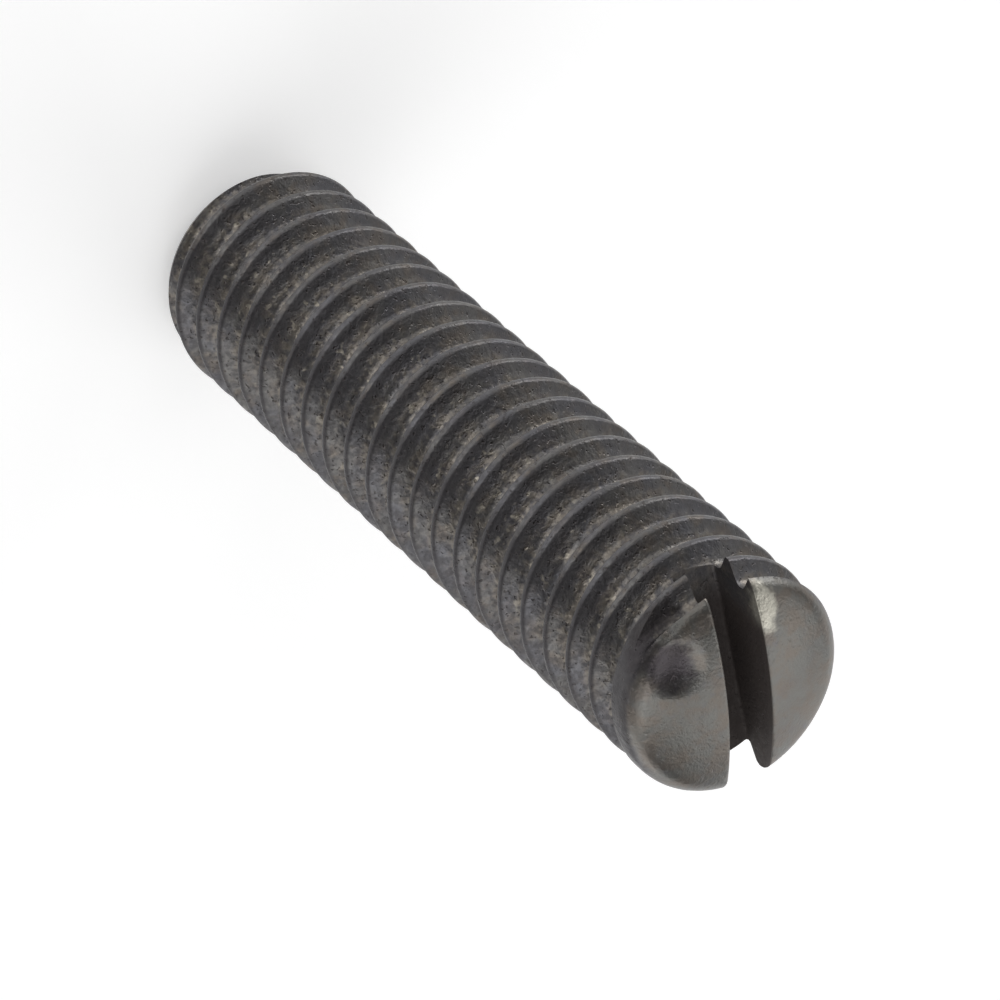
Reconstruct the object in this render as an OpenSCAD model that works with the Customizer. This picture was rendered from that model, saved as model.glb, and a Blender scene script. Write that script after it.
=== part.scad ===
// Slotted grub screw with a flat point, nominal 4 mm thread, 16 mm long.
// It stands on its point with the slot upward, and the slot runs along X.

/* [Thread] */
// Diameter over the crests, the usual allowance under the nominal 4 mm
thread_d = 3.9; // [3.6:0.05:4.6]
// Distance from one crest to the next
pitch = 0.7; // [0.6:0.05:0.8]
// Angle between the two flanks of the groove
flank_angle = 60; // [55:1:65]
// Width of the flat left on each crest
crest_flat = 0.09; // [0.06:0.01:0.14]
// Width of the flat at the bottom of the groove
root_flat = 0.12; // [0.08:0.01:0.18]

/* [Length and point] */
// Length from the flat point to the top of the crown
length = 16; // [8:0.5:30]
// Diameter of the flat point
point_d = 2.5; // [1.8:0.1:2.8]
// Height of the chamfer round the point
chamfer_h = 0.45; // [0.3:0.05:0.6]
// Diameter at the top of that chamfer
chamfer_d = 3.4; // [3:0.05:3.5]
// Height at which the first turns reach their full diameter
lead_h = 0.9; // [0.7:0.1:2]

/* [Slotted end] */
// Radius of the crown over the slotted end
crown_radius = 5.5; // [5:0.5:20]
// Radius of the rounded shoulder between crown and thread
shoulder_radius = 0.4; // [0.25:0.05:0.7]
// Width of the screwdriver slot
slot_w = 0.78; // [0.5:0.02:1]
// Depth of the slot on the screw's axis
slot_depth = 1.2; // [0.9:0.05:1.5]
// Slope of the slot's floor, which the saw left deeper towards +X
slot_slope = 10; // [0:1:12]
// How far the saw cut the slot off the axis, towards -Y
slot_offset = 0.07; // [0:0.01:0.15]

/* [Thread runout] */
// Direction in which the groove runs out, turning from +X
runout_angle = 64; // [0:2:358]
// Turn over which the groove lifts out of the metal
runout_turn = 40; // [20:5:90]
// Height of the runout below the top of the crown
runout_drop = 0.55; // [0.5:0.05:1]

/* [Nick] */
// Direction of the nick in the crown beside the runout, turning from +X
nick_angle = 50; // [0:2:358]
// Distance of the nick from the axis
nick_offset = 1.4; // [1:0.05:1.5]
// Radius of the ball that the nick is the print of
nick_radius = 1.2; // [0.6:0.1:1.5]
// Depth of the nick
nick_depth = 0.12; // [0.05:0.01:0.2]

/* [Hidden] */
// Facets round one turn of the groove, and round the turned body
turn_facets = 36;
body_facets = 96;
// Points along the crown's arc and along the shoulder's arc
crown_points = 5;
shoulder_points = 7;
// How far the cutting shapes stand proud of the metal
cut_proud = 0.05;
slot_proud = 1;
thread_r = thread_d / 2;
groove_depth = (pitch - crest_flat - root_flat) / 2 / tan(flank_angle / 2);
root_r = thread_r - groove_depth;
half_root = root_flat / 2;
half_mouth = half_root + (groove_depth + cut_proud) * tan(flank_angle / 2);
// The shoulder's arc touches the crown's arc from inside, at join_angle from the axis
shoulder_r = thread_r - shoulder_radius;
crown_z = length - crown_radius;
join_angle = asin(shoulder_r / (crown_radius - shoulder_radius));
shoulder_z = crown_z + (crown_radius - shoulder_radius) * cos(join_angle);
// The groove is swept downwards from its runout, and past the point
runout_z = length - runout_drop;
groove_steps = ceil((runout_z + pitch) / pitch * turn_facets);
step_angle = 360 / turn_facets;

// Points of an arc, with angles measured from the axis towards the outside
function arc(r, z, radius, from, to, count) = [
    for (i = [0:count])
        let (a = from + (to - from) * i / count)
        [r + radius * sin(a), z + radius * cos(a)]
];

// Outline of the turned blank, from the point's centre round to the crown's
function blank_outline() = concat(
    [[0, 0], [point_d / 2, 0], [chamfer_d / 2, chamfer_h], [thread_r, lead_h]],
    arc(shoulder_r, shoulder_z, shoulder_radius, 90, join_angle, shoulder_points),
    arc(0, crown_z, crown_radius, join_angle * (1 - 1 / crown_points), 0, crown_points - 1)
);

// Share of its full depth by which the groove has lifted out, step by step from the runout
function lift_at(step) = max(0, 1 - step * step_angle / runout_turn) * (groove_depth + cut_proud);

// Section of the groove at one step: a V with a flat bottom, open outwards
function groove_section(step) =
    let (
        angle = runout_angle - step * step_angle,
        z = runout_z - step * pitch / turn_facets,
        inner = root_r + lift_at(step),
        outer = thread_r + cut_proud + lift_at(step)
    )
    [
        for (p = [[inner, -half_root], [inner, half_root], [outer, half_mouth], [outer, -half_mouth]])
            [p[0] * cos(angle), p[0] * sin(angle), z + p[1]]
    ];

module blank() {
    rotate_extrude($fn = body_facets)
        polygon(blank_outline());
}

module thread_groove() {
    last = 4 * groove_steps;
    points = [for (step = [0:groove_steps]) each groove_section(step)];
    sides = [
        for (step = [0:groove_steps - 1], k = [0:3])
            let (a = 4 * step + k, b = 4 * step + (k + 1) % 4)
            each [[a, b + 4, a + 4], [a, b, b + 4]]
    ];
    polyhedron(
        points,
        concat([[3, 2, 1, 0]], sides, [[last, last + 1, last + 2, last + 3]]),
        convexity = 10
    );
}

module slot() {
    reach = thread_d + 2 * slot_proud;
    translate([0, -slot_offset, length - slot_depth])
        rotate([0, slot_slope, 0])
            translate([-reach / 2, -slot_w / 2, 0])
                cube([reach, slot_w, slot_depth + slot_proud]);
}

module nick() {
    lean = asin(nick_offset / crown_radius);
    rotate([0, 0, nick_angle])
        translate([0, 0, crown_z])
            rotate([0, lean, 0])
                translate([0, 0, crown_radius + nick_radius - nick_depth])
                    sphere(nick_radius, $fn = body_facets);
}

module grub_screw() {
    color([0.36, 0.35, 0.34])
        difference() {
            blank();
            thread_groove();
            slot();
            nick();
        }
}

grub_screw();
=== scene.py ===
"""Models a slotted grub screw's finished surface and sets it in a small studio."""

import logging
import math
from dataclasses import dataclass, field
from enum import Enum
from typing import Any, Sequence

import bmesh
import bpy
from mathutils import Matrix, Vector, noise


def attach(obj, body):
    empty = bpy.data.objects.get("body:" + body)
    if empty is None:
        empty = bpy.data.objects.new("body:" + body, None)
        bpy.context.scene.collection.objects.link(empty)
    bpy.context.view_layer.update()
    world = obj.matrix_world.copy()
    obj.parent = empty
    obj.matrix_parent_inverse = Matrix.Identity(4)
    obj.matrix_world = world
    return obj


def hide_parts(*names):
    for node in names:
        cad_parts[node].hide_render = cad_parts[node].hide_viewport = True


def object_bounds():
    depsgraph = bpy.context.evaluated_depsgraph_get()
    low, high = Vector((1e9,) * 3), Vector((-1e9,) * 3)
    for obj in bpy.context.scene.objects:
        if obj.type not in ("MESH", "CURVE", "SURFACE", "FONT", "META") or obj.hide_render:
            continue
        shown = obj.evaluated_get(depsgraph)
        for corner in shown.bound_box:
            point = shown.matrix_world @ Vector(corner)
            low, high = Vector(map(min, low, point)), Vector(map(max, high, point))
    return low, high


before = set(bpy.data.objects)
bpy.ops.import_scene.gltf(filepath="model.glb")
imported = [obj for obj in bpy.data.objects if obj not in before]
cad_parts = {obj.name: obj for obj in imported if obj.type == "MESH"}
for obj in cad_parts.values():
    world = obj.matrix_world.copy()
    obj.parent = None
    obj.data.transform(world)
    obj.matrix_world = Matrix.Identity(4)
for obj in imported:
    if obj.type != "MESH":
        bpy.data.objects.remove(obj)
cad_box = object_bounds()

log = logging.getLogger("grub_screw")

# The screw is modelled in millimetres and brought to metres as its last step
MM = 0.001
FULL_TURN = 2 * math.pi
# Points of a mesh that lie closer than this, in millimetres, are one point
MERGE_GAP = 0.0001
# Blender's noise swings evenly about this value
NOISE_MIDDLE = 0.5


class Cut(Enum):
    """How a cutting shape works on the metal."""

    KEEP_INSIDE = "INTERSECT"
    TAKE_AWAY = "DIFFERENCE"


class RayKind(Enum):
    """Rays that see the white surroundings as they are."""

    CAMERA = "Is Camera Ray"
    GLOSSY = "Is Glossy Ray"
    TRANSMISSION = "Is Transmission Ray"


Point = tuple[float, float]
Place = tuple[float, float, float]
Colour = tuple[float, float, float]
# The value at which a mark begins, and the value at which it is full
Span = tuple[float, float]
# A number, a colour, a place or a Shade, and several of them by the input's name or number
SocketInput = Any
Sockets = dict[str | int, SocketInput]


def deselect_all() -> None:
    """Leaves object mode clean, with nothing selected."""
    if bpy.context.object and bpy.context.object.mode != "OBJECT":
        bpy.ops.object.mode_set(mode="OBJECT")
    bpy.ops.object.select_all(action="DESELECT")


def make_active(piece: bpy.types.Object) -> None:
    """Selects one piece alone and makes it the active one.

    Args:
        piece: The piece to work on.
    """
    deselect_all()
    piece.select_set(True)
    bpy.context.view_layer.objects.active = piece


def apply_modifier(piece: bpy.types.Object, kind: str, **settings: Any) -> None:
    """Adds a modifier to a piece and applies it.

    Args:
        piece: The piece to change.
        kind: Blender's name for the modifier.
        **settings: The modifier's own settings.
    """
    make_active(piece)
    modifier = piece.modifiers.new(kind.title(), kind)
    for name, value in settings.items():
        setattr(modifier, name, value)
    bpy.ops.object.modifier_apply(modifier=modifier.name)


def face_outwards(piece: bpy.types.Object) -> None:
    """Turns all faces of a closed piece outwards.

    Args:
        piece: The piece to turn.
    """
    make_active(piece)
    bpy.ops.object.mode_set(mode="EDIT")
    bpy.ops.mesh.select_all(action="SELECT")
    bpy.ops.mesh.normals_make_consistent(inside=False)
    if bmesh.from_edit_mesh(piece.data).calc_volume(signed=True) < 0:
        bpy.ops.mesh.flip_normals()
    bpy.ops.object.mode_set(mode="OBJECT")


def draw_outline(name: str, points: Sequence[Point]) -> bpy.types.Object:
    """Draws an open outline in the XZ plane by extruding one vertex from point to point.

    Args:
        name: The new object's name.
        points: Radius and height of each point, in order.

    Returns:
        An object that holds only the outline's edges.
    """
    deselect_all()
    bpy.ops.mesh.primitive_plane_add(size=1, location=(0, 0, 0))
    outline = bpy.context.object
    outline.name = name
    bpy.ops.object.mode_set(mode="EDIT")
    bpy.ops.mesh.select_mode(type="VERT")
    bpy.ops.mesh.select_all(action="SELECT")
    bpy.ops.mesh.merge(type="CENTER")
    first = points[0]
    bpy.ops.transform.translate(value=(first[0], 0, first[1]))
    for before, after in zip(points, points[1:]):
        step = (after[0] - before[0], 0, after[1] - before[1])
        bpy.ops.mesh.extrude_vertices_move(TRANSFORM_OT_translate={"value": step})
    bpy.ops.object.mode_set(mode="OBJECT")
    return outline


def cut_with(piece: bpy.types.Object, cutter: bpy.types.Object, cut: Cut) -> None:
    """Cuts a piece with another solid, which is then deleted.

    Args:
        piece: The metal that stays.
        cutter: The solid that cuts it.
        cut: Whether the inside is kept or taken away.
    """
    apply_modifier(piece, "BOOLEAN", object=cutter, operation=cut.value, solver="MANIFOLD")
    bpy.data.objects.remove(cutter)


def arc(centre: Point, radius: float, start: float, end: float, count: int) -> list[Point]:
    """Places points along an arc whose angles are measured from the axis outwards.

    Args:
        centre: Radius and height of the arc's centre.
        radius: The arc's radius.
        start: First angle, in radians.
        end: Last angle, in radians.
        count: How many steps lie between the two.

    Returns:
        The points, first and last included.
    """
    angles = [start + (end - start) * i / count for i in range(count + 1)]
    return [(centre[0] + radius * math.sin(a), centre[1] + radius * math.cos(a)) for a in angles]


@dataclass
class ThreadForm:
    """The helical groove between two crests, and where it runs out under the crown."""

    crest_radius: float
    pitch: float = 0.7
    flank_angle: float = math.radians(60)
    crest_flat: float = 0.09
    root_flat: float = 0.12
    crest_rounding: float = 0.09
    root_rounding: float = 0.16
    flank_steps: int = 2
    rounding_steps: int = 5
    steps_per_turn: int = 144
    runout_angle: float = math.radians(64)
    runout_turn: float = math.radians(40)
    runout_z: float = 15.45
    lift_past_crest: float = 0.05
    crest_margin: float = 0.01

    @property
    def half_angle(self) -> float:
        """Angle between a flank and the plane across the axis."""
        return self.flank_angle / 2

    @property
    def depth(self) -> float:
        """Depth of the groove."""
        return (self.pitch - self.crest_flat - self.root_flat) / 2 / math.tan(self.half_angle)

    def half_profile(self) -> list[Point]:
        """Works out the profile from the middle of a root to the middle of the crest above it.

        Returns:
            Radius and height over the root's middle, from root to crest.
        """
        turn = math.pi / 2 - self.half_angle
        root_tip = self.crest_radius - self.depth - self.root_flat / 2 / math.tan(self.half_angle)
        crest_tip = self.crest_radius + self.crest_flat / 2 / math.tan(self.half_angle)
        root_centre = root_tip + self.root_rounding / math.sin(self.half_angle)
        crest_centre = crest_tip - self.crest_rounding / math.sin(self.half_angle)
        root_arc = []
        crest_arc = []
        for i in range(self.rounding_steps + 1):
            a = turn * i / self.rounding_steps
            b = turn - a
            root_arc.append((
                root_centre - self.root_rounding * math.cos(a),
                self.root_rounding * math.sin(a),
            ))
            crest_arc.append((
                crest_centre + self.crest_rounding * math.cos(b),
                self.pitch / 2 - self.crest_rounding * math.sin(b),
            ))
        low, high = root_arc[-1], crest_arc[0]
        flank = [
            (low[0] + (high[0] - low[0]) * share, low[1] + (high[1] - low[1]) * share)
            for share in (i / self.flank_steps for i in range(1, self.flank_steps))
        ]
        return [*root_arc, *flank, *crest_arc]

    def profile(self, base_z: float) -> list[Point]:
        """Works out one whole pitch of the profile, from crest to crest.

        Args:
            base_z: Height of the lower crest's middle.

        Returns:
            Radius and height of each point, from the lower crest up.
        """
        half = self.half_profile()
        middle = base_z + self.pitch / 2
        lower = [(r, middle - z) for r, z in reversed(half)]
        upper = [(r, middle + z) for r, z in half[1:]]
        return lower + upper

    def root_height(self, angle: float) -> float:
        """Height of the groove's last turn at a direction round the axis.

        Args:
            angle: Direction from +X, in radians.

        Returns:
            Height of the root's middle, before the groove runs out.
        """
        return self.runout_z - self.pitch * (self.runout_angle - angle) / FULL_TURN

    def lift(self, x: float, y: float, z: float) -> float:
        """Works out how far the groove has lifted out of the metal at a point of the bar.

        Args:
            x: The point's place along X.
            y: The point's place along Y.
            z: The point's height.

        Returns:
            Distance by which the point moves outwards.
        """
        angle = math.atan2(y, x)
        # With the margin, a crest's middle always counts with the groove under it
        over_crest = z - self.root_height(angle) + self.pitch / 2 - self.crest_margin
        offset = over_crest % self.pitch - self.pitch / 2 + self.crest_margin
        swept = (self.runout_z - (z - offset)) / self.pitch * FULL_TURN
        share = min(1.0, max(0.0, 1 - swept / self.runout_turn))
        return share * (self.depth + self.lift_past_crest)

    def threaded_bar(self, low: float, high: float) -> bpy.types.Object:
        """Winds the profile into a threaded bar that reaches past both ends of the screw.

        Args:
            low: Height that the bar reaches below.
            high: Height that the bar reaches above.

        Returns:
            A closed solid, with the groove's runout shaped in.
        """
        base = self.root_height(0) - self.pitch / 2
        base -= math.ceil((base - low) / self.pitch + 1) * self.pitch
        turns = math.ceil((high - base) / self.pitch + 1)
        bar = draw_outline("threaded_bar", self.profile(base))
        apply_modifier(
            bar,
            "SCREW",
            axis="Z",
            angle=FULL_TURN,
            screw_offset=self.pitch,
            steps=self.steps_per_turn,
            render_steps=self.steps_per_turn,
            iterations=turns,
            use_normal_calculate=False,
        )
        mesh = bar.data
        for vertex in mesh.vertices:
            x, y, z = vertex.co
            radius = math.hypot(x, y)
            grown = 1 + self.lift(x, y, z) / radius
            vertex.co.x *= grown
            vertex.co.y *= grown
        close_bar(bar, low - self.pitch, high + self.pitch)
        return bar


def close_bar(bar: bpy.types.Object, low: float, high: float) -> None:
    """Merges a wound bar's turns and closes both of its ends with flat faces.

    Args:
        bar: The wound surface, open at both ends.
        low: Height of the lower end face.
        high: Height of the upper end face.
    """
    make_active(bar)
    bpy.ops.object.mode_set(mode="EDIT")
    bpy.ops.mesh.select_all(action="SELECT")
    bpy.ops.mesh.remove_doubles(threshold=MERGE_GAP)
    middle = (low + high) / 2
    for end in (low, high):
        bpy.ops.mesh.select_all(action="DESELECT")
        bpy.ops.mesh.select_mode(type="EDGE")
        edges = bmesh.from_edit_mesh(bar.data)
        for edge in edges.edges:
            if edge.is_boundary and (edge.verts[0].co.z > middle) == (end > middle):
                edge.select_set(True)
        bmesh.update_edit_mesh(bar.data)
        bpy.ops.mesh.extrude_edges_move(TRANSFORM_OT_translate={"value": (0, 0, 0)})
        bpy.ops.transform.resize(value=(1, 1, 0), center_override=(0, 0, end))
        bpy.ops.mesh.edge_face_add()
    bpy.ops.object.mode_set(mode="OBJECT")
    face_outwards(bar)


@dataclass
class TurnedBlank:
    """The bar's turned outline: flat point, chamfer, lead, body, shoulder and crown."""

    radius: float
    length: float
    point_radius: float = 1.25
    point_rounding: float = 0.04
    chamfer_radius: float = 1.7
    chamfer_height: float = 0.45
    lead_height: float = 0.9
    crown_radius: float = 5.5
    shoulder_radius: float = 0.4
    segments: int = 144
    crown_steps: int = 26
    shoulder_steps: int = 9
    ring_gap: float = 0.35

    @property
    def crown_centre(self) -> float:
        """Height of the crown's centre."""
        return self.length - self.crown_radius

    @property
    def join_angle(self) -> float:
        """Angle from the axis at which the shoulder takes over from the crown."""
        reach = self.crown_radius - self.shoulder_radius
        return math.asin((self.radius - self.shoulder_radius) / reach)

    @property
    def shoulder_centre(self) -> Point:
        """Radius and height of the shoulder's centre."""
        reach = self.crown_radius - self.shoulder_radius
        return self.radius - self.shoulder_radius, self.crown_centre + reach * math.cos(self.join_angle)

    def top_at(self, radius: float) -> float:
        """Works out the height of the crowned end.

        Args:
            radius: Distance from the axis.

        Returns:
            Height of the crown or the shoulder there.
        """
        if radius <= self.crown_radius * math.sin(self.join_angle):
            return self.crown_centre + math.sqrt(self.crown_radius**2 - radius**2)
        centre_r, centre_z = self.shoulder_centre
        across = min(radius - centre_r, self.shoulder_radius)
        return centre_z + math.sqrt(self.shoulder_radius**2 - across**2)

    def outline(self) -> list[Point]:
        """Lists the outline's points from the middle of the point to the middle of the crown.

        Returns:
            Radius and height of each point.
        """
        shoulder = self.shoulder_centre
        crown = (0.0, self.crown_centre)
        body_top = shoulder[1]
        rings = math.ceil((body_top - self.lead_height) / self.ring_gap)
        body = [
            (self.radius, self.lead_height + (body_top - self.lead_height) * i / rings)
            for i in range(rings)
        ]
        return [
            (0.0, 0.0),
            (self.point_radius - self.point_rounding, 0.0),
            (self.point_radius, self.point_rounding),
            (self.chamfer_radius, self.chamfer_height),
            *body,
            *arc(shoulder, self.shoulder_radius, math.pi / 2, self.join_angle, self.shoulder_steps),
            *arc(crown, self.crown_radius, self.join_angle, 0.0, self.crown_steps)[1:],
        ]

    def build(self) -> bpy.types.Object:
        """Spins the outline round the axis.

        Returns:
            The blank as a closed solid.
        """
        blank = draw_outline("turned_blank", self.outline())
        make_active(blank)
        bpy.ops.object.mode_set(mode="EDIT")
        bpy.ops.mesh.select_all(action="SELECT")
        bpy.ops.mesh.spin(steps=self.segments, angle=FULL_TURN, center=(0, 0, 0), axis=(0, 0, 1))
        bpy.ops.mesh.select_all(action="SELECT")
        bpy.ops.mesh.remove_doubles(threshold=MERGE_GAP)
        bpy.ops.object.mode_set(mode="OBJECT")
        face_outwards(blank)
        return blank


@dataclass
class DriverSlot:
    """The sawn screwdriver slot, deeper towards +X, with its edges slightly broken."""

    blank: TurnedBlank
    width: float = 0.78
    depth: float = 1.2
    slope: float = math.radians(10)
    offset: float = 0.07
    floor_rounding: float = 0.06
    rounding_steps: int = 3
    broken_edge: float = 0.03
    # Where the broken edge turns, across and up from the sharp edge, as shares of its size
    edge_turns: tuple[Point, ...] = ((0.0, -1.0), (0.35, -0.35), (2.0, 0.6))
    reach: float = 2.25
    stations: int = 60
    proud: float = 1.0

    def floor_at(self, x: float) -> float:
        """Height of the slot's floor at a place along X."""
        return self.blank.length - self.depth - math.tan(self.slope) * x

    def half_section(self, x: float) -> list[Point]:
        """Lists one side of the slot's section, from the floor's middle to over the crown.

        Args:
            x: Place of the section along X.

        Returns:
            Distance across from the slot's middle, and height.
        """
        floor = self.floor_at(x)
        half = self.width / 2
        corner = (half - self.floor_rounding, floor + self.floor_rounding)
        top = self.blank.top_at(min(math.hypot(x, half), self.blank.radius))
        top = max(top, floor + 2 * self.floor_rounding)
        points = [(0.0, floor), (half / 2, floor)]
        for i in range(self.rounding_steps + 1):
            a = math.pi / 2 * i / self.rounding_steps
            points.append((
                corner[0] + self.floor_rounding * math.sin(a),
                corner[1] - self.floor_rounding * math.cos(a),
            ))
        for across, up in self.edge_turns:
            points.append((half + across * self.broken_edge, top + up * self.broken_edge))
        points.append((points[-1][0], self.blank.length + self.proud))
        return points

    def cutter(self) -> bpy.types.Object:
        """Lofts the section along X.

        Returns:
            The cutting solid.
        """
        count = len(self.half_section(0.0))
        deselect_all()
        bpy.ops.mesh.primitive_circle_add(vertices=2 * count - 1, radius=1, fill_type="NGON")
        cutter = bpy.context.object
        cutter.name = "slot_cutter"
        bpy.ops.object.mode_set(mode="EDIT")
        bpy.ops.mesh.select_all(action="SELECT")
        for _ in range(self.stations):
            bpy.ops.mesh.extrude_region_move(TRANSFORM_OT_translate={"value": (0, 0, 1)})
        bpy.ops.object.mode_set(mode="OBJECT")
        rings: dict[int, list[bpy.types.MeshVertex]] = {}
        for vertex in cutter.data.vertices:
            rings.setdefault(round(vertex.co.z), []).append(vertex)
        for station, ring in rings.items():
            x = self.reach * (2 * station / self.stations - 1)
            half = self.half_section(x)
            section = half + [(-across, z) for across, z in reversed(half[1:])]
            ring.sort(key=lambda v: math.atan2(v.co.y, v.co.x) % FULL_TURN)
            for vertex, (across, z) in zip(ring, section):
                vertex.co = (x, across - self.offset, z)
        face_outwards(cutter)
        return cutter


@dataclass
class CrownNick:
    """The shallow dent in the crown beside the groove's end, its rim worn soft."""

    blank: TurnedBlank
    direction: float = math.radians(50)
    distance: float = 1.4
    ball_radius: float = 1.2
    depth: float = 0.12
    soft_rim: float = 1.15

    def press_into(self, piece: bpy.types.Object) -> None:
        """Presses the print of a ball into the crown.

        Args:
            piece: The screw, in millimetres.
        """
        lean = math.asin(self.distance / self.blank.crown_radius)
        level = Vector((math.cos(self.direction), math.sin(self.direction), 0))
        outward = level * math.sin(lean) + Vector((0, 0, math.cos(lean)))
        middle = Vector((0, 0, self.blank.crown_centre)) + outward * self.blank.crown_radius
        curvature = 1 / self.ball_radius + 1 / self.blank.crown_radius
        reach = self.soft_rim * math.sqrt(2 * self.depth / curvature)
        for vertex in piece.data.vertices:
            share = (vertex.co - middle).length / reach
            if share < 1:
                vertex.co -= outward * self.depth * (1 - share**2) ** 2


@dataclass
class Wear:
    """Small unevenness that rolling, handling and corrosion left in the surface."""

    swell: float = 0.006
    swell_size: float = 0.9
    dent: float = 0.012
    dent_size: float = 0.22
    dent_start: float = 0.25

    def depth_at(self, place: Vector) -> float:
        """Works out how far the surface lies from its true form.

        Args:
            place: The point, in millimetres.

        Returns:
            Distance outwards, in millimetres.
        """
        broad = noise.noise(place / self.swell_size)
        fine = noise.noise(place / self.dent_size)
        return self.swell * broad - self.dent * max(0.0, fine - self.dent_start)

    def press_into(self, piece: bpy.types.Object, crown_centre: float) -> None:
        """Moves the surface's vertices by the wear.

        Args:
            piece: The screw.
            crown_centre: Height over which the wear works away from the crown's centre.
        """
        for vertex in piece.data.vertices:
            place = vertex.co.copy()
            outward = Vector((place.x, place.y, max(0.0, place.z - crown_centre)))
            if outward.length > 0:
                vertex.co = place + outward.normalized() * self.depth_at(place)


@dataclass(frozen=True)
class Tone:
    """A colour that is laid over the steel, and the most of it that shows."""

    colour: Colour
    share: float


@dataclass(frozen=True)
class Mottle:
    """A noise over the surface: the size of its patches, in millimetres, and how broken they are."""

    size: float
    detail: float
    roughness: float = 0.55


class Shade:
    """A shader socket that can be used in Python sums."""

    def __init__(self, kit: "ShaderKit", socket: bpy.types.NodeSocket | None) -> None:
        self.kit = kit
        self.socket = socket

    def _sum(self, operation: str, *values: SocketInput) -> "Shade":
        """Adds one Math node."""
        sockets = dict(enumerate(values))
        return self.kit.node("ShaderNodeMath", {"operation": operation}, sockets)

    def __add__(self, other: SocketInput) -> "Shade":
        """Adds two values."""
        return self._sum("ADD", self, other)

    def __radd__(self, other: SocketInput) -> "Shade":
        """Adds two values, with the number first."""
        return self._sum("ADD", other, self)

    def __sub__(self, other: SocketInput) -> "Shade":
        """Takes one value from another."""
        return self._sum("SUBTRACT", self, other)

    def __rsub__(self, other: SocketInput) -> "Shade":
        """Takes this value from a number."""
        return self._sum("SUBTRACT", other, self)

    def __mul__(self, other: SocketInput) -> "Shade":
        """Multiplies two values."""
        return self._sum("MULTIPLY", self, other)

    def __rmul__(self, other: SocketInput) -> "Shade":
        """Multiplies two values, with the number first."""
        return self._sum("MULTIPLY", other, self)

    def least(self, other: SocketInput) -> "Shade":
        """Takes the smaller of two values."""
        return self._sum("MINIMUM", self, other)

    def size(self) -> "Shade":
        """Drops the value's sign."""
        return self._sum("ABSOLUTE", self)

    def clamped(self) -> "Shade":
        """Keeps the value between 0 and 1."""
        return self.kit.node("ShaderNodeClamp", {}, {"Value": self})


class ShaderKit:
    """Adds nodes to one material's or world's tree."""

    def __init__(self, tree: bpy.types.NodeTree) -> None:
        """Empties the tree and keeps it."""
        tree.nodes.clear()
        self.tree = tree

    def node(
        self,
        kind: str,
        settings: dict[str, Any] | None = None,
        sockets: Sockets | None = None,
        output: str | int = 0,
    ) -> Shade:
        """Adds a node, sets it up and links it.

        Args:
            kind: The node's type.
            settings: The node's own settings, which are set first.
            sockets: Values or links, by the input's name or number.
            output: The output that is wanted.

        Returns:
            That output.
        """
        made = self.tree.nodes.new(kind)
        for name, value in (settings or {}).items():
            setattr(made, name, value)
        for name, value in (sockets or {}).items():
            if isinstance(value, Shade):
                self.tree.links.new(value.socket, made.inputs[name])
            else:
                made.inputs[name].default_value = value
        return Shade(self, made.outputs[output] if made.outputs else None)

    def ramp(self, value: Shade, span: Span) -> Shade:
        """Spreads the values of a span over 0 to 1, with soft ends.

        Args:
            value: The value that is spread.
            span: The value that gives 0, and the one that gives 1.

        Returns:
            The spread value.
        """
        return self.node(
            "ShaderNodeMapRange",
            {"interpolation_type": "SMOOTHSTEP"},
            {"Value": value, "From Min": span[0], "From Max": span[1]},
        )

    def mix(self, share: SocketInput, first: Shade | Colour, second: Shade | Colour) -> Shade:
        """Mixes two colours.

        Args:
            share: Share of the second colour.
            first: The colour at a share of 0.
            second: The colour at a share of 1.

        Returns:
            The mixed colour.
        """
        under, over = (c if isinstance(c, Shade) else (*c, 1.0) for c in (first, second))
        return self.node("ShaderNodeMix", {"data_type": "RGBA"}, {0: share, 6: under, 7: over}, 2)

    def lay(self, mark: Shade, ground: Shade | Colour, tone: Tone) -> Shade:
        """Lays a tone over a colour where a mark is."""
        return self.mix(mark * tone.share, ground, tone.colour)

    def bump(self, height: Shade, distance: float, normal: Shade | None = None) -> Shade:
        """Turns a height into a bent normal.

        Args:
            height: Height from 0 to 1.
            distance: What a height of 1 stands for, in metres.
            normal: The normal that is bent further.

        Returns:
            The normal.
        """
        sockets = {"Strength": 1.0, "Distance": distance, "Height": height}
        if normal:
            sockets["Normal"] = normal
        return self.node("ShaderNodeBump", {}, sockets)

    def noise(self, place: Shade, mottle: Mottle) -> Shade:
        """Adds a noise.

        Args:
            place: The place that it is read at.
            mottle: Its form.

        Returns:
            The noise's value, mostly between 0.2 and 0.8.
        """
        return self.node(
            "ShaderNodeTexNoise",
            {},
            {
                "Vector": place,
                "Scale": 1 / mottle.size,
                "Detail": mottle.detail,
                "Roughness": mottle.roughness,
            },
        )


@dataclass(frozen=True)
class Side:
    """One side of the screw, in degrees: its direction, and where round it a mark is full and gone."""

    azimuth: float
    full: float
    gone: float


@dataclass(frozen=True)
class PaintedPatch:
    """One oval patch of painted colour, in millimetres: the dark ones are painted shadow and shade, the
    pale one a painted highlight.
    """

    centre: Place
    reach: Place
    tone: Tone


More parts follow.
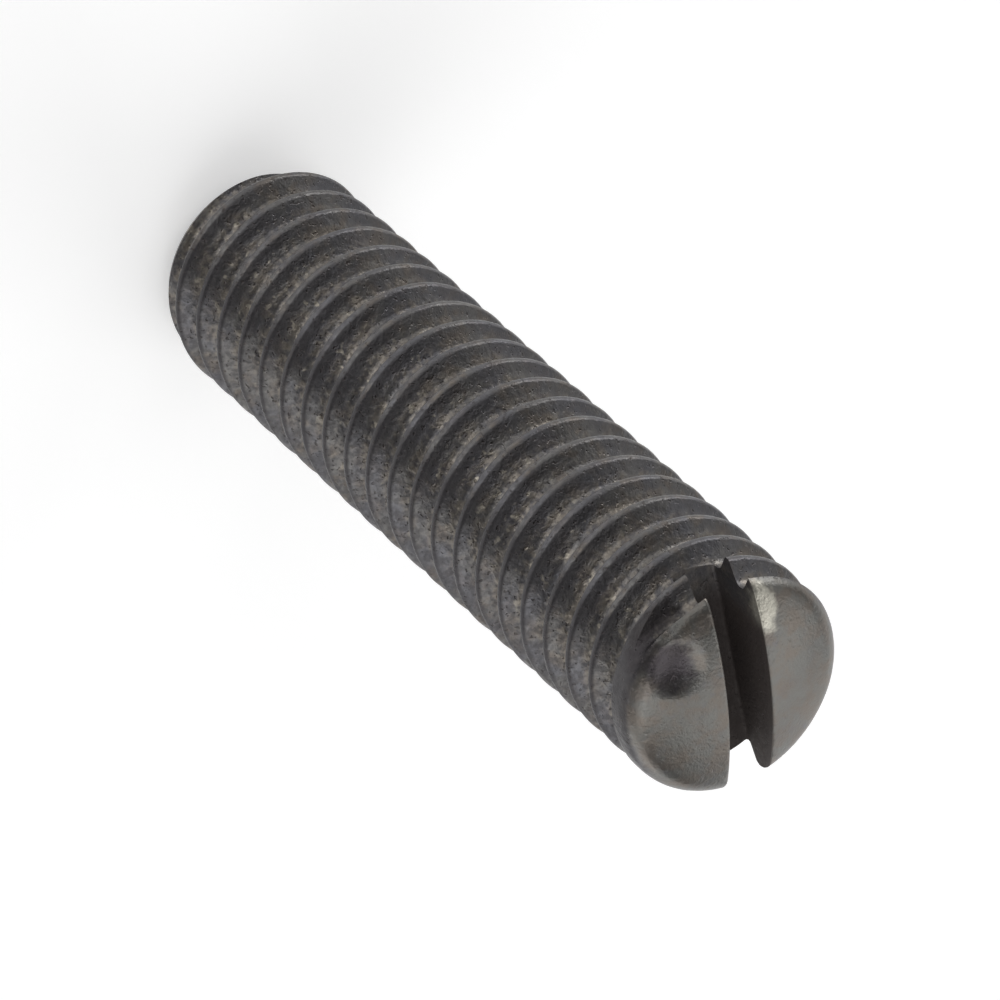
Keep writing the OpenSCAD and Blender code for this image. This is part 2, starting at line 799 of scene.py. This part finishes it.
class SurfaceMap:
    """Marks parts of the screw's surface by their place on the object, in millimetres."""

    crown_end: Span = (0.04, 0.16)
    floor_start: Span = (-0.06, -0.03)
    wall_depth: float = 0.02
    # Where a patch of painted light or shade fades out, and how ragged its edge is
    patch_end: Span = (0.55, 1.15)
    patch_edge: Mottle = Mottle(0.2, 3.0)
    patch_raggedness: float = 1.1

    def __init__(self, kit: ShaderKit, blank: TurnedBlank, slot: DriverSlot) -> None:
        """Reads the place on the object and measures how deep it lies.

        Args:
            kit: The material's nodes.
            blank: The turned blank's form.
            slot: The slot's form.
        """
        self.kit = kit
        self.blank = blank
        self.slot = slot
        local = kit.node("ShaderNodeTexCoord", output="Object")
        self.place = self._vector("SCALE", {0: local, "Scale": 1 / MM})
        self.level = self._vector("MULTIPLY", {0: self.place, 1: (1, 1, 0)})
        # A place under the crown's centre is raised to it, or the far end would seem to lie outside
        lowest = (-blank.length, -blank.length, blank.crown_centre)
        raised = self._vector("MAXIMUM", {0: self.place, 1: lowest})
        self.under_crown = blank.crown_radius - self._distance(raised, (0, 0, blank.crown_centre))
        under_body = blank.radius - self._distance(self.level, (0, 0, 0))
        self.depth = under_body.least(self.under_crown).least(self.along("Z"))

    def _vector(self, operation: str, sockets: Sockets, output: str = "Vector") -> Shade:
        """Adds one Vector Math node."""
        return self.kit.node("ShaderNodeVectorMath", {"operation": operation}, sockets, output)

    def _distance(self, place: Shade, centre: Place) -> Shade:
        """Measures the distance from a point."""
        return self._vector("DISTANCE", {0: place, 1: centre}, "Value")

    def along(self, axis: str) -> Shade:
        """Reads the place along one axis."""
        return self.kit.node("ShaderNodeSeparateXYZ", {}, {0: self.place}, axis)

    def crown(self) -> Shade:
        """Marks the crown's own surface, down to the shoulder."""
        return 1 - self.kit.ramp(self.under_crown, self.crown_end)

    def deeper(self, span: Span) -> Shade:
        """Marks the surface that lies deeper under the turned blank's than a span of depths."""
        return self.kit.ramp(self.depth, span)

    def on_side(self, side: Side) -> Shade:
        """Marks one side of the screw.

        Args:
            side: Its direction and how far round it reaches, in degrees.

        Returns:
            1 on that side, falling to 0 past its reach.
        """
        azimuth, full, gone = (math.radians(angle) for angle in (side.azimuth, side.full, side.gone))
        outward = self._vector("NORMALIZE", {0: self.level})
        way = (math.cos(azimuth), math.sin(azimuth), 0.0)
        facing = self._vector("DOT_PRODUCT", {0: outward, 1: way}, "Value")
        return self.kit.ramp(facing, (math.cos(gone), math.cos(full)))

    def in_painted_patch(self, patch: PaintedPatch) -> Shade:
        """Marks one oval patch of painted shadow, shade or highlight, with a ragged edge.

        Args:
            patch: Its place and reach.

        Returns:
            1 in its middle, falling to 0 outside it.
        """
        away = self._vector("SUBTRACT", {0: self.place, 1: patch.centre})
        scaled = self._vector("DIVIDE", {0: away, 1: patch.reach})
        far = self._vector("LENGTH", {0: scaled}, "Value")
        ragged = self.kit.noise(self.place, self.patch_edge) - NOISE_MIDDLE
        return 1 - self.kit.ramp(far + ragged * self.patch_raggedness, self.patch_end)

    def slotted(self) -> Shade:
        """Marks the slot's walls and floor.

        Returns:
            1 between the walls and over the floor, and 0 elsewhere.
        """
        half = self.slot.width / 2
        across = (self.along("Y") + self.slot.offset).size()
        between_walls = 1 - self.kit.ramp(across, (half, half + self.wall_depth))
        floor = self.slot.floor_at(0.0) - self.along("X") * math.tan(self.slot.slope)
        return between_walls * self.kit.ramp(self.along("Z") - floor, self.floor_start)


@dataclass(frozen=True)
class GrooveBands:
    """Depths under the crests, in millimetres, over which each band of the groove begins or ends."""

    crest_end: Span = (0.02, 0.08)
    # Depths of the ring of painted shade under each crest
    shade_start: Span = (0.02, 0.045)
    shade_end: Span = (0.12, 0.24)
    # Depth where the pale flecks and painted glints begin
    fleck_and_glint_start: Span = (0.12, 0.22)
    # Depths where the dust and painted highlight on the deep flank begin
    dust_and_sheen_start: Span = (0.16, 0.3)
    root_start: Span = (0.33, 0.4)


@dataclass
class SteelMarks:
    """Marks that several layers of the steel's finish share."""

    crown: Shade
    slotted: Shade
    # A side with fewer dark specks, painted shade on its crests and less painted highlight in its
    # groove
    smooth: Shade
    # The side where the ring of painted shade is left off, so that it looks lighter
    clean: Shade
    specks: Shade
    tints: Shade
    dark_specks: Shade
    pits: Shade


@dataclass(frozen=True)
class DarkSteel:
    """Blackened steel, mottled all over and rubbed on the crown, with painted shade under the crests
    and on one side's crests, dust that is also a painted highlight deeper in the groove, and painted
    light and shade by the crown and in the slot.
    """

    name: str = "dark_steel"
    base: Colour = (0.168, 0.163, 0.158)
    tan: Tone = Tone((0.182, 0.155, 0.13), 0.7)
    blue: Tone = Tone((0.128, 0.13, 0.15), 0.6)
    dull: Tone = Tone((0.084, 0.08, 0.084), 0.65)
    rubbed: Tone = Tone((0.14, 0.138, 0.128), 0.85)
    warm: Tone = Tone((0.142, 0.126, 0.11), 1.0)
    # Painted shade: a dark ring under each crest, and dark crests on one side
    painted_shade: Tone = Tone((0.058, 0.055, 0.058), 0.85)
    # Tan dust on the deep flanks, lighter than the steel, and also a painted highlight where those
    # flanks catch the light
    dust_and_sheen: Tone = Tone((0.25, 0.225, 0.194), 0.85)
    # Pale flecks, partly painted glints where the highlight falls on the deep flanks
    fleck_and_glint: Tone = Tone((0.46, 0.42, 0.35), 0.7)
    pit_dirt: Tone = Tone((0.04, 0.031, 0.028), 0.4)
    # Painted shade inside the slot, fading towards its open end at +X
    slot_painted_shade: Tone = Tone((0.04, 0.031, 0.028), 0.95)
    painted_patches: tuple[PaintedPatch, ...] = (
        # Painted shadow in the groove's last turn, where it runs out under the crown
        PaintedPatch((1.47, 1.15, 15.2), (0.5, 0.6, 0.26), Tone((0.034, 0.03, 0.031), 0.85)),
        # Painted shadow where that dark band reaches the dent
        PaintedPatch((1.15, 1.48, 15.45), (0.34, 0.34, 0.34), Tone((0.05, 0.045, 0.048), 0.7)),
        # Painted shade in the dent in the crown
        PaintedPatch((0.96, 1.15, 15.8), (0.5, 0.46, 0.4), Tone((0.058, 0.051, 0.056), 0.9)),
        # Painted highlight on the jaw's shoulder beside the slot
        PaintedPatch((1.38, -0.57, 15.78), (0.5, 0.24, 0.3), Tone((0.54, 0.52, 0.45), 0.9)),
    )

    # Shine, and how the slot, specks and the rubbed crown change it
    metallic: float = 0.92
    slot_metallic: float = 0.25
    roughness: float = 0.36
    speck_roughness: float = 0.1
    slot_roughness: float = 0.3
    crown_shine: float = 0.04

    # Noises, and how high they stand
    patch_noise: Mottle = Mottle(0.8, 3.0)
    tint_noise: Mottle = Mottle(0.296, 2.0)
    speck_noise: Mottle = Mottle(0.13, 2.5, 0.6)
    fleck_and_glint_noise: Mottle = Mottle(0.16, 1.5)
    pit_noise: Mottle = Mottle(0.075, 1.0)
    grain_noise: Mottle = Mottle(0.05, 2.0, 0.5)
    speck_height: float = 0.016 * MM
    pit_depth: float = 0.008 * MM
    grain_height: float = 0.005 * MM

    # Values of a noise over which its marks come in, from where they begin to where they are full
    tan_tints: Span = (0.45, 0.65)
    blue_patches: Span = (0.42, 0.62)
    warm_tints: Span = (0.35, 0.65)
    rubbed_specks: Span = (0.1, 0.5)
    dark_specks: Span = (0.68, 0.34)
    dust_and_sheen_specks: Span = (0.35, 0.62)
    dust_and_sheen_tints: Span = (0.3, 0.55)
    flecks_and_glints: Span = (0.61, 0.71)
    pits: Span = (0.62, 0.74)

    # Sides of the screw, in degrees, and bands of the groove
    # Painted shade lies on the crests of this side
    dark_crest_side: Side = Side(82, 28.4, 40.5)
    # The ring of painted shade is left off this side, so that it looks lighter
    unshaded_side: Side = Side(112, 36.9, 51.7)
    # The ring of painted shade is heaviest on this side, a painted dark band
    shaded_side: Side = Side(38, 18.2, 33.9)
    # Fewer dark specks on this side, painted shade on its crests, and less painted highlight in its
    # groove
    smooth_shaded_side: Side = Side(-30, 25.8, 63.3)
    bands: GrooveBands = GrooveBands()

    # Shares that a mark loses on a side or a part, and that the smooth side's crests gain in painted
    # shade
    crown_relief_loss: float = 0.8
    crown_speck_loss: float = 0.7
    smooth_speck_loss: float = 0.45
    smooth_dust_and_sheen_loss: float = 0.3
    smooth_glint_loss: float = 0.8
    unshaded_glint_loss: float = 0.6
    root_dust_and_sheen_loss: float = 0.8
    shade_loss: float = 0.6
    smooth_crest_shade: float = 0.3
    # Where along X the slot's painted shade fades at its open end, and how much of it goes
    slot_end: Span = (0.9, 1.5)
    slot_end_loss: float = 0.7

    def material(self, blank: TurnedBlank, slot: DriverSlot) -> bpy.types.Material:
        """Builds the material.

        Args:
            blank: The turned blank's form.
            slot: The slot's form.

        Returns:
            The finished material.
        """
        made = bpy.data.materials.new(self.name)
        made.use_nodes = True
        kit = ShaderKit(made.node_tree)
        where = SurfaceMap(kit, blank, slot)
        marks = self.marks(where)
        colour = self.with_dust_and_sheen(where, marks, self.with_painted_shade(where, marks, self.mottled(where, marks)))
        rough = self.roughness + marks.dark_specks * self.speck_roughness
        rough = rough + marks.slotted * self.slot_roughness - marks.crown * self.crown_shine
        sockets = {
            "Base Color": self.stained_and_shaded(where, marks, colour),
            "Metallic": self.metallic - marks.slotted * (self.metallic - self.slot_metallic),
            "Roughness": rough.clamped(),
            "Normal": self.relief(where, marks),
        }
        steel = kit.node("ShaderNodeBsdfPrincipled", {}, sockets)
        kit.node("ShaderNodeOutputMaterial", {}, {"Surface": steel})
        return made

    def marks(self, where: SurfaceMap) -> SteelMarks:
        """Makes the marks that several layers share.

        Args:
            where: The places on the screw.

        Returns:
            The marks.
        """
        kit = where.kit
        crown = where.crown()
        smooth = where.on_side(self.smooth_shaded_side)
        specks = kit.noise(where.place, self.speck_noise)
        pits = kit.ramp(kit.noise(where.place, self.pit_noise), self.pits)
        dark_specks = kit.ramp(specks, self.dark_specks) * (1 - crown * self.crown_speck_loss)
        open_end = kit.ramp(where.along("X"), self.slot_end)
        return SteelMarks(
            crown=crown,
            slotted=where.slotted() * (1 - open_end * self.slot_end_loss),
            smooth=smooth,
            clean=where.on_side(self.unshaded_side),
            specks=specks,
            tints=kit.noise(where.place, self.tint_noise),
            dark_specks=dark_specks * (1 - smooth * self.smooth_speck_loss),
            pits=pits * (1 - crown * self.crown_relief_loss),
        )

    def mottled(self, where: SurfaceMap, marks: SteelMarks) -> Shade:
        """Mottles the steel tan, blue and dull, and rubs the crown.

        Args:
            where: The places on the screw.
            marks: The shared marks.

        Returns:
            The colour.
        """
        kit = where.kit
        patches = kit.noise(where.place, self.patch_noise)
        colour = kit.lay(kit.ramp(marks.tints, self.tan_tints), self.base, self.tan)
        colour = kit.lay(kit.ramp(patches, self.blue_patches), colour, self.blue)
        colour = kit.lay(marks.dark_specks, colour, self.dull)
        rubbed = kit.lay(kit.ramp(marks.tints, self.warm_tints), self.rubbed.colour, self.warm)
        bare = marks.crown * kit.ramp(marks.specks, self.rubbed_specks)
        return kit.mix(bare * self.rubbed.share, colour, rubbed)

    def with_painted_shade(self, where: SurfaceMap, marks: SteelMarks, colour: Shade) -> Shade:
        """Lays painted shade in a ring under each crest, heaviest on one side and left off another, and
        on the crests of the dark side.

        Args:
            where: The places on the screw.
            marks: The shared marks.
            colour: The colour underneath.

        Returns:
            The colour with its painted shade.
        """
        bands = self.bands
        # Painted shade: on the dark side's crests, and in a ring under each crest, heavier on the
        # shaded side and left off the unshaded side
        dark_crests = where.on_side(self.dark_crest_side) + marks.smooth * self.smooth_crest_shade
        on_crest = dark_crests * (1 - where.deeper(bands.crest_end))
        ring = where.deeper(bands.shade_start) * (1 - where.deeper(bands.shade_end)) * (1 - marks.clean)
        heavy = where.on_side(self.shaded_side) * self.shade_loss + (1 - self.shade_loss)
        return where.kit.lay((ring * heavy + on_crest) * (1 - marks.crown), colour, self.painted_shade)

    def with_dust_and_sheen(self, where: SurfaceMap, marks: SteelMarks, colour: Shade) -> Shade:
        """Lays tan dust, which is also a painted highlight on the deep flanks, and pale flecks that are
        partly painted glints, deeper in the groove.

        Args:
            where: The places on the screw.
            marks: The shared marks.
            colour: The colour underneath.

        Returns:
            The colour with its dust, painted highlight and pale flecks.
        """
        kit = where.kit
        on_flank = where.deeper(self.bands.dust_and_sheen_start)
        on_flank = on_flank * (1 - where.deeper(self.bands.root_start) * self.root_dust_and_sheen_loss)
        dust_and_sheen_mark = kit.ramp(marks.specks, self.dust_and_sheen_specks) * kit.ramp(marks.tints, self.dust_and_sheen_tints)
        dust_and_sheen_mark = dust_and_sheen_mark * (1 - marks.smooth * self.smooth_dust_and_sheen_loss)
        # Dust, and with it a painted highlight, on the deep flanks
        colour = kit.lay(on_flank * dust_and_sheen_mark, colour, self.dust_and_sheen)
        # Pale flecks, partly painted glints, fewer on the sides away from the highlight
        flecks_and_glints = kit.ramp(kit.noise(where.place, self.fleck_and_glint_noise), self.flecks_and_glints)
        flecks_and_glints = flecks_and_glints * where.deeper(self.bands.fleck_and_glint_start) * (1 - marks.crown)
        lost = marks.smooth * self.smooth_glint_loss + marks.clean * self.unshaded_glint_loss
        return kit.lay(flecks_and_glints * (1 - lost), colour, self.fleck_and_glint)

    def stained_and_shaded(self, where: SurfaceMap, marks: SteelMarks, colour: Shade) -> Shade:
        """Lays dirt in the pits, the painted shadows and highlight of the patches, and painted shade in
        the slot.

        Args:
            where: The places on the screw.
            marks: The shared marks.
            colour: The colour underneath.

        Returns:
            The finished colour.
        """
        kit = where.kit
        colour = kit.lay(marks.pits, colour, self.pit_dirt)
        # Patches of painted shadow, shade and highlight
        for patch in self.painted_patches:
            colour = kit.lay(where.in_painted_patch(patch), colour, patch.tone)
        # Painted shade in the slot
        return kit.lay(marks.slotted, colour, self.slot_painted_shade)

    def relief(self, where: SurfaceMap, marks: SteelMarks) -> Shade:
        """Roughens the surface with specks, pits and grain.

        Args:
            where: The places on the screw.
            marks: The shared marks.

        Returns:
            The bent normal.
        """
        kit = where.kit
        coarse = kit.bump(marks.specks * (1 - marks.crown * self.crown_relief_loss), self.speck_height)
        pitted = kit.bump(1 - marks.pits, self.pit_depth, coarse)
        return kit.bump(kit.noise(where.place, self.grain_noise), self.grain_height, pitted)


@dataclass
class GrubScrew:
    """The whole screw, cut from one bar."""

    finish: DarkSteel = field(default_factory=DarkSteel)
    wear: Wear = field(default_factory=Wear)
    smooth_angle: float = math.radians(38)

    def build(self) -> bpy.types.Object:
        """Models the screw, dresses it and lets it stand for its CAD node.

        Returns:
            The finished piece.
        """
        low, high = (corner / MM for corner in cad_box)
        radius = (high.x - low.x) / 2
        blank_form = TurnedBlank(radius=radius, length=self.full_length(high.z))
        thread = ThreadForm(crest_radius=radius)
        slot = DriverSlot(blank_form)
        screw = thread.threaded_bar(low.z, blank_form.length)
        screw.name = "screw_body"
        cut_with(screw, blank_form.build(), Cut.KEEP_INSIDE)
        cut_with(screw, slot.cutter(), Cut.TAKE_AWAY)
        CrownNick(blank_form).press_into(screw)
        self.wear.press_into(screw, blank_form.crown_centre)
        screw.data.transform(Matrix.Scale(MM, 4))
        self.dress(screw, self.finish.material(blank_form, slot))
        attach(screw, "root")
        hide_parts("grub_screw")
        return screw

    @staticmethod
    def full_length(top: float) -> float:
        """Works out the length to the crown's middle, which the slot has cut away.

        Args:
            top: Height that the crown still has at the slot's nearer wall.

        Returns:
            The length before the slot was cut.
        """
        near_wall = DriverSlot.width / 2 - DriverSlot.offset
        crown = TurnedBlank.crown_radius
        return top + crown - math.sqrt(crown**2 - near_wall**2)

    def dress(self, screw: bpy.types.Object, steel: bpy.types.Material) -> None:
        """Smooths the shading and gives the screw its steel.

        Args:
            screw: The finished mesh.
            steel: Its material.
        """
        make_active(screw)
        bpy.ops.object.shade_smooth_by_angle(angle=self.smooth_angle)
        screw.data.materials.clear()
        screw.data.materials.append(steel)


@dataclass
class PhotoCamera:
    """The camera, placed as the photograph was taken."""

    from_axis: float = math.radians(42.9)
    azimuth: float = math.radians(33.5)
    distance: float = 167.9 * MM
    # Focal length as a share of the sensor's width
    focal_share: float = 10.383
    aim_height: float = 8.475 * MM
    right_shift: float = -0.0255 * MM
    up_shift: float = -0.3126 * MM
    roll: float = math.radians(41.574)
    sensor: float = 36.0
    clip_start: float = 1.0 * MM

    def build(self) -> bpy.types.Object:
        """Adds the camera and makes it the scene's.

        Returns:
            The camera.
        """
        level = Vector((math.cos(self.azimuth), math.sin(self.azimuth), 0))
        up = Vector((0, 0, 1))
        back = level * math.sin(self.from_axis) + up * math.cos(self.from_axis)
        along = up * math.sin(self.from_axis) - level * math.cos(self.from_axis)
        across = up.cross(level)
        right = along * math.cos(self.roll) - across * math.sin(self.roll)
        above = -along * math.sin(self.roll) - across * math.cos(self.roll)
        data = bpy.data.cameras.new("photo_camera")
        data.sensor_width = self.sensor
        data.lens = self.sensor * self.focal_share
        data.clip_start = self.clip_start
        camera = bpy.data.objects.new("photo_camera", data)
        bpy.context.scene.collection.objects.link(camera)
        aim = up * self.aim_height + right * self.right_shift + above * self.up_shift
        turn = Matrix((right, above, back)).transposed().to_4x4()
        camera.matrix_world = Matrix.Translation(aim + back * self.distance) @ turn
        bpy.context.scene.camera = camera
        return camera


@dataclass(frozen=True)
class Lamp:
    """One soft oval lamp of the studio, its place and half its width and height in degrees."""

    name: str
    azimuth: float
    elevation: float
    half_width: float
    half_height: float
    power: float
    distance: float = 0.6

    def build(self, target: Vector) -> bpy.types.Object:
        """Hangs the lamp.

        Args:
            target: The point that it is aimed at.

        Returns:
            The lamp's object.
        """
        azimuth = math.radians(self.azimuth)
        elevation = math.radians(self.elevation)
        data = bpy.data.lights.new(self.name, "AREA")
        data.shape = "ELLIPSE"
        data.size = 2 * self.distance * math.tan(math.radians(self.half_width))
        data.size_y = 2 * self.distance * math.tan(math.radians(self.half_height))
        data.energy = self.power
        lamp = bpy.data.objects.new(self.name, data)
        bpy.context.scene.collection.objects.link(lamp)
        level = math.cos(elevation)
        out = Vector((level * math.cos(azimuth), level * math.sin(azimuth), math.sin(elevation)))
        lamp.location = target + out * self.distance
        lamp.rotation_mode = "QUATERNION"
        lamp.rotation_quaternion = out.to_track_quat("Z", "Y")
        lamp.visible_camera = False
        return lamp


@dataclass
class Studio:
    """Pale floor with a low pale rim, dim surroundings and soft lamps."""

    floor_radius: float = 1.0
    floor_sides: int = 96
    rim_height: float = 0.16
    floor_grey: float = 0.8
    floor_glow: float = 0.39
    rim_glow: float = 0.7
    world_level: float = 0.15
    lamps: tuple[Lamp, ...] = (
        Lamp("front_lamp", 0, 40, 20, 16, 0.5),
        Lamp("near_lamp", 36, 20, 12, 10, 0.42),
        Lamp("near_left_lamp", 120, 40, 28, 16, 0.6),
        Lamp("left_lamp", 150, 12, 30, 11, 0.6),
        Lamp("far_left_lamp", 144, 64, 17, 17, 0.62),
        Lamp("far_lamp", -144, 46, 22, 22, 0.85),
        Lamp("far_right_lamp", -140, 12, 32, 11, 0.45),
        Lamp("right_high_lamp", -95, 40, 26, 16, 0.35),
        Lamp("right_lamp", -54, 12, 20, 11, 0.95),
        Lamp("small_top_lamp", 36, 62, 6, 6, 0.13),
    )

    def build(self, target: Vector) -> None:
        """Adds the floor, the world and the lamps.

        Args:
            target: The point that the lamps are aimed at.
        """
        self.lay_floor()
        self.raise_rim()
        self.light_world()
        for lamp in self.lamps:
            lamp.build(target)
        bpy.context.scene.view_settings.view_transform = "Standard"

    @staticmethod
    def white_seen(kit: ShaderKit) -> Shade:
        """Marks the rays that see the floor and its rim as they are."""
        rays = [kit.node("ShaderNodeLightPath", output=kind.value) for kind in RayKind]
        return (rays[0] + rays[1] + rays[2]).clamped()

    def paint(self, piece: bpy.types.Object, glow: float) -> None:
        """Gives a piece of the studio its pale paint.

        Args:
            piece: The floor or its rim.
            glow: How much paler it looks than its paint, without lighting the screw more.
        """
        made = bpy.data.materials.new(f"pale_{piece.name}")
        made.use_nodes = True
        kit = ShaderKit(made.node_tree)
        grey = (self.floor_grey, self.floor_grey, self.floor_grey, 1.0)
        matt = kit.node("ShaderNodeBsdfDiffuse", {}, {"Color": grey})
        shine = kit.node("ShaderNodeEmission", {}, {"Strength": self.white_seen(kit) * glow})
        both = kit.node("ShaderNodeAddShader", {}, {0: matt, 1: shine})
        kit.node("ShaderNodeOutputMaterial", {}, {"Surface": both})
        piece.data.materials.append(made)

    def lay_floor(self) -> None:
        """Lays the pale floor under the screw."""
        deselect_all()
        bpy.ops.mesh.primitive_circle_add(
            vertices=self.floor_sides,
            radius=self.floor_radius,
            fill_type="NGON",
        )
        floor = bpy.context.object
        floor.name = "floor"
        self.paint(floor, self.floor_glow)

    def raise_rim(self) -> None:
        """Stands a low pale wall round the floor, for views from low down."""
        deselect_all()
        bpy.ops.mesh.primitive_circle_add(vertices=self.floor_sides, radius=self.floor_radius)
        rim = bpy.context.object
        rim.name = "rim"
        bpy.ops.object.mode_set(mode="EDIT")
        bpy.ops.mesh.select_all(action="SELECT")
        bpy.ops.mesh.extrude_edges_move(TRANSFORM_OT_translate={"value": (0, 0, self.rim_height)})
        bpy.ops.mesh.select_all(action="SELECT")
        bpy.ops.mesh.normals_make_consistent(inside=True)
        bpy.ops.object.mode_set(mode="OBJECT")
        self.paint(rim, self.rim_glow)

    def light_world(self) -> None:
        """Makes the surroundings dim and even."""
        world = bpy.data.worlds.new("surroundings")
        bpy.context.scene.world = world
        world.use_nodes = True
        kit = ShaderKit(world.node_tree)
        sky = kit.node("ShaderNodeBackground", {}, {"Strength": self.world_level})
        kit.node("ShaderNodeOutputWorld", {}, {"Surface": sky})


def main() -> None:
    """Builds the screw and its studio in order."""
    logging.basicConfig(level=logging.INFO, format="%(message)s")
    PhotoCamera().build()
    screw = GrubScrew().build()
    log.info("%s: %d faces", screw.name, len(screw.data.polygons))
    middle = (cad_box[0] + cad_box[1]) / 2
    Studio().build(middle)
    log.info("studio: floor, surroundings and lamps")


if __name__ == "__main__":
    main()
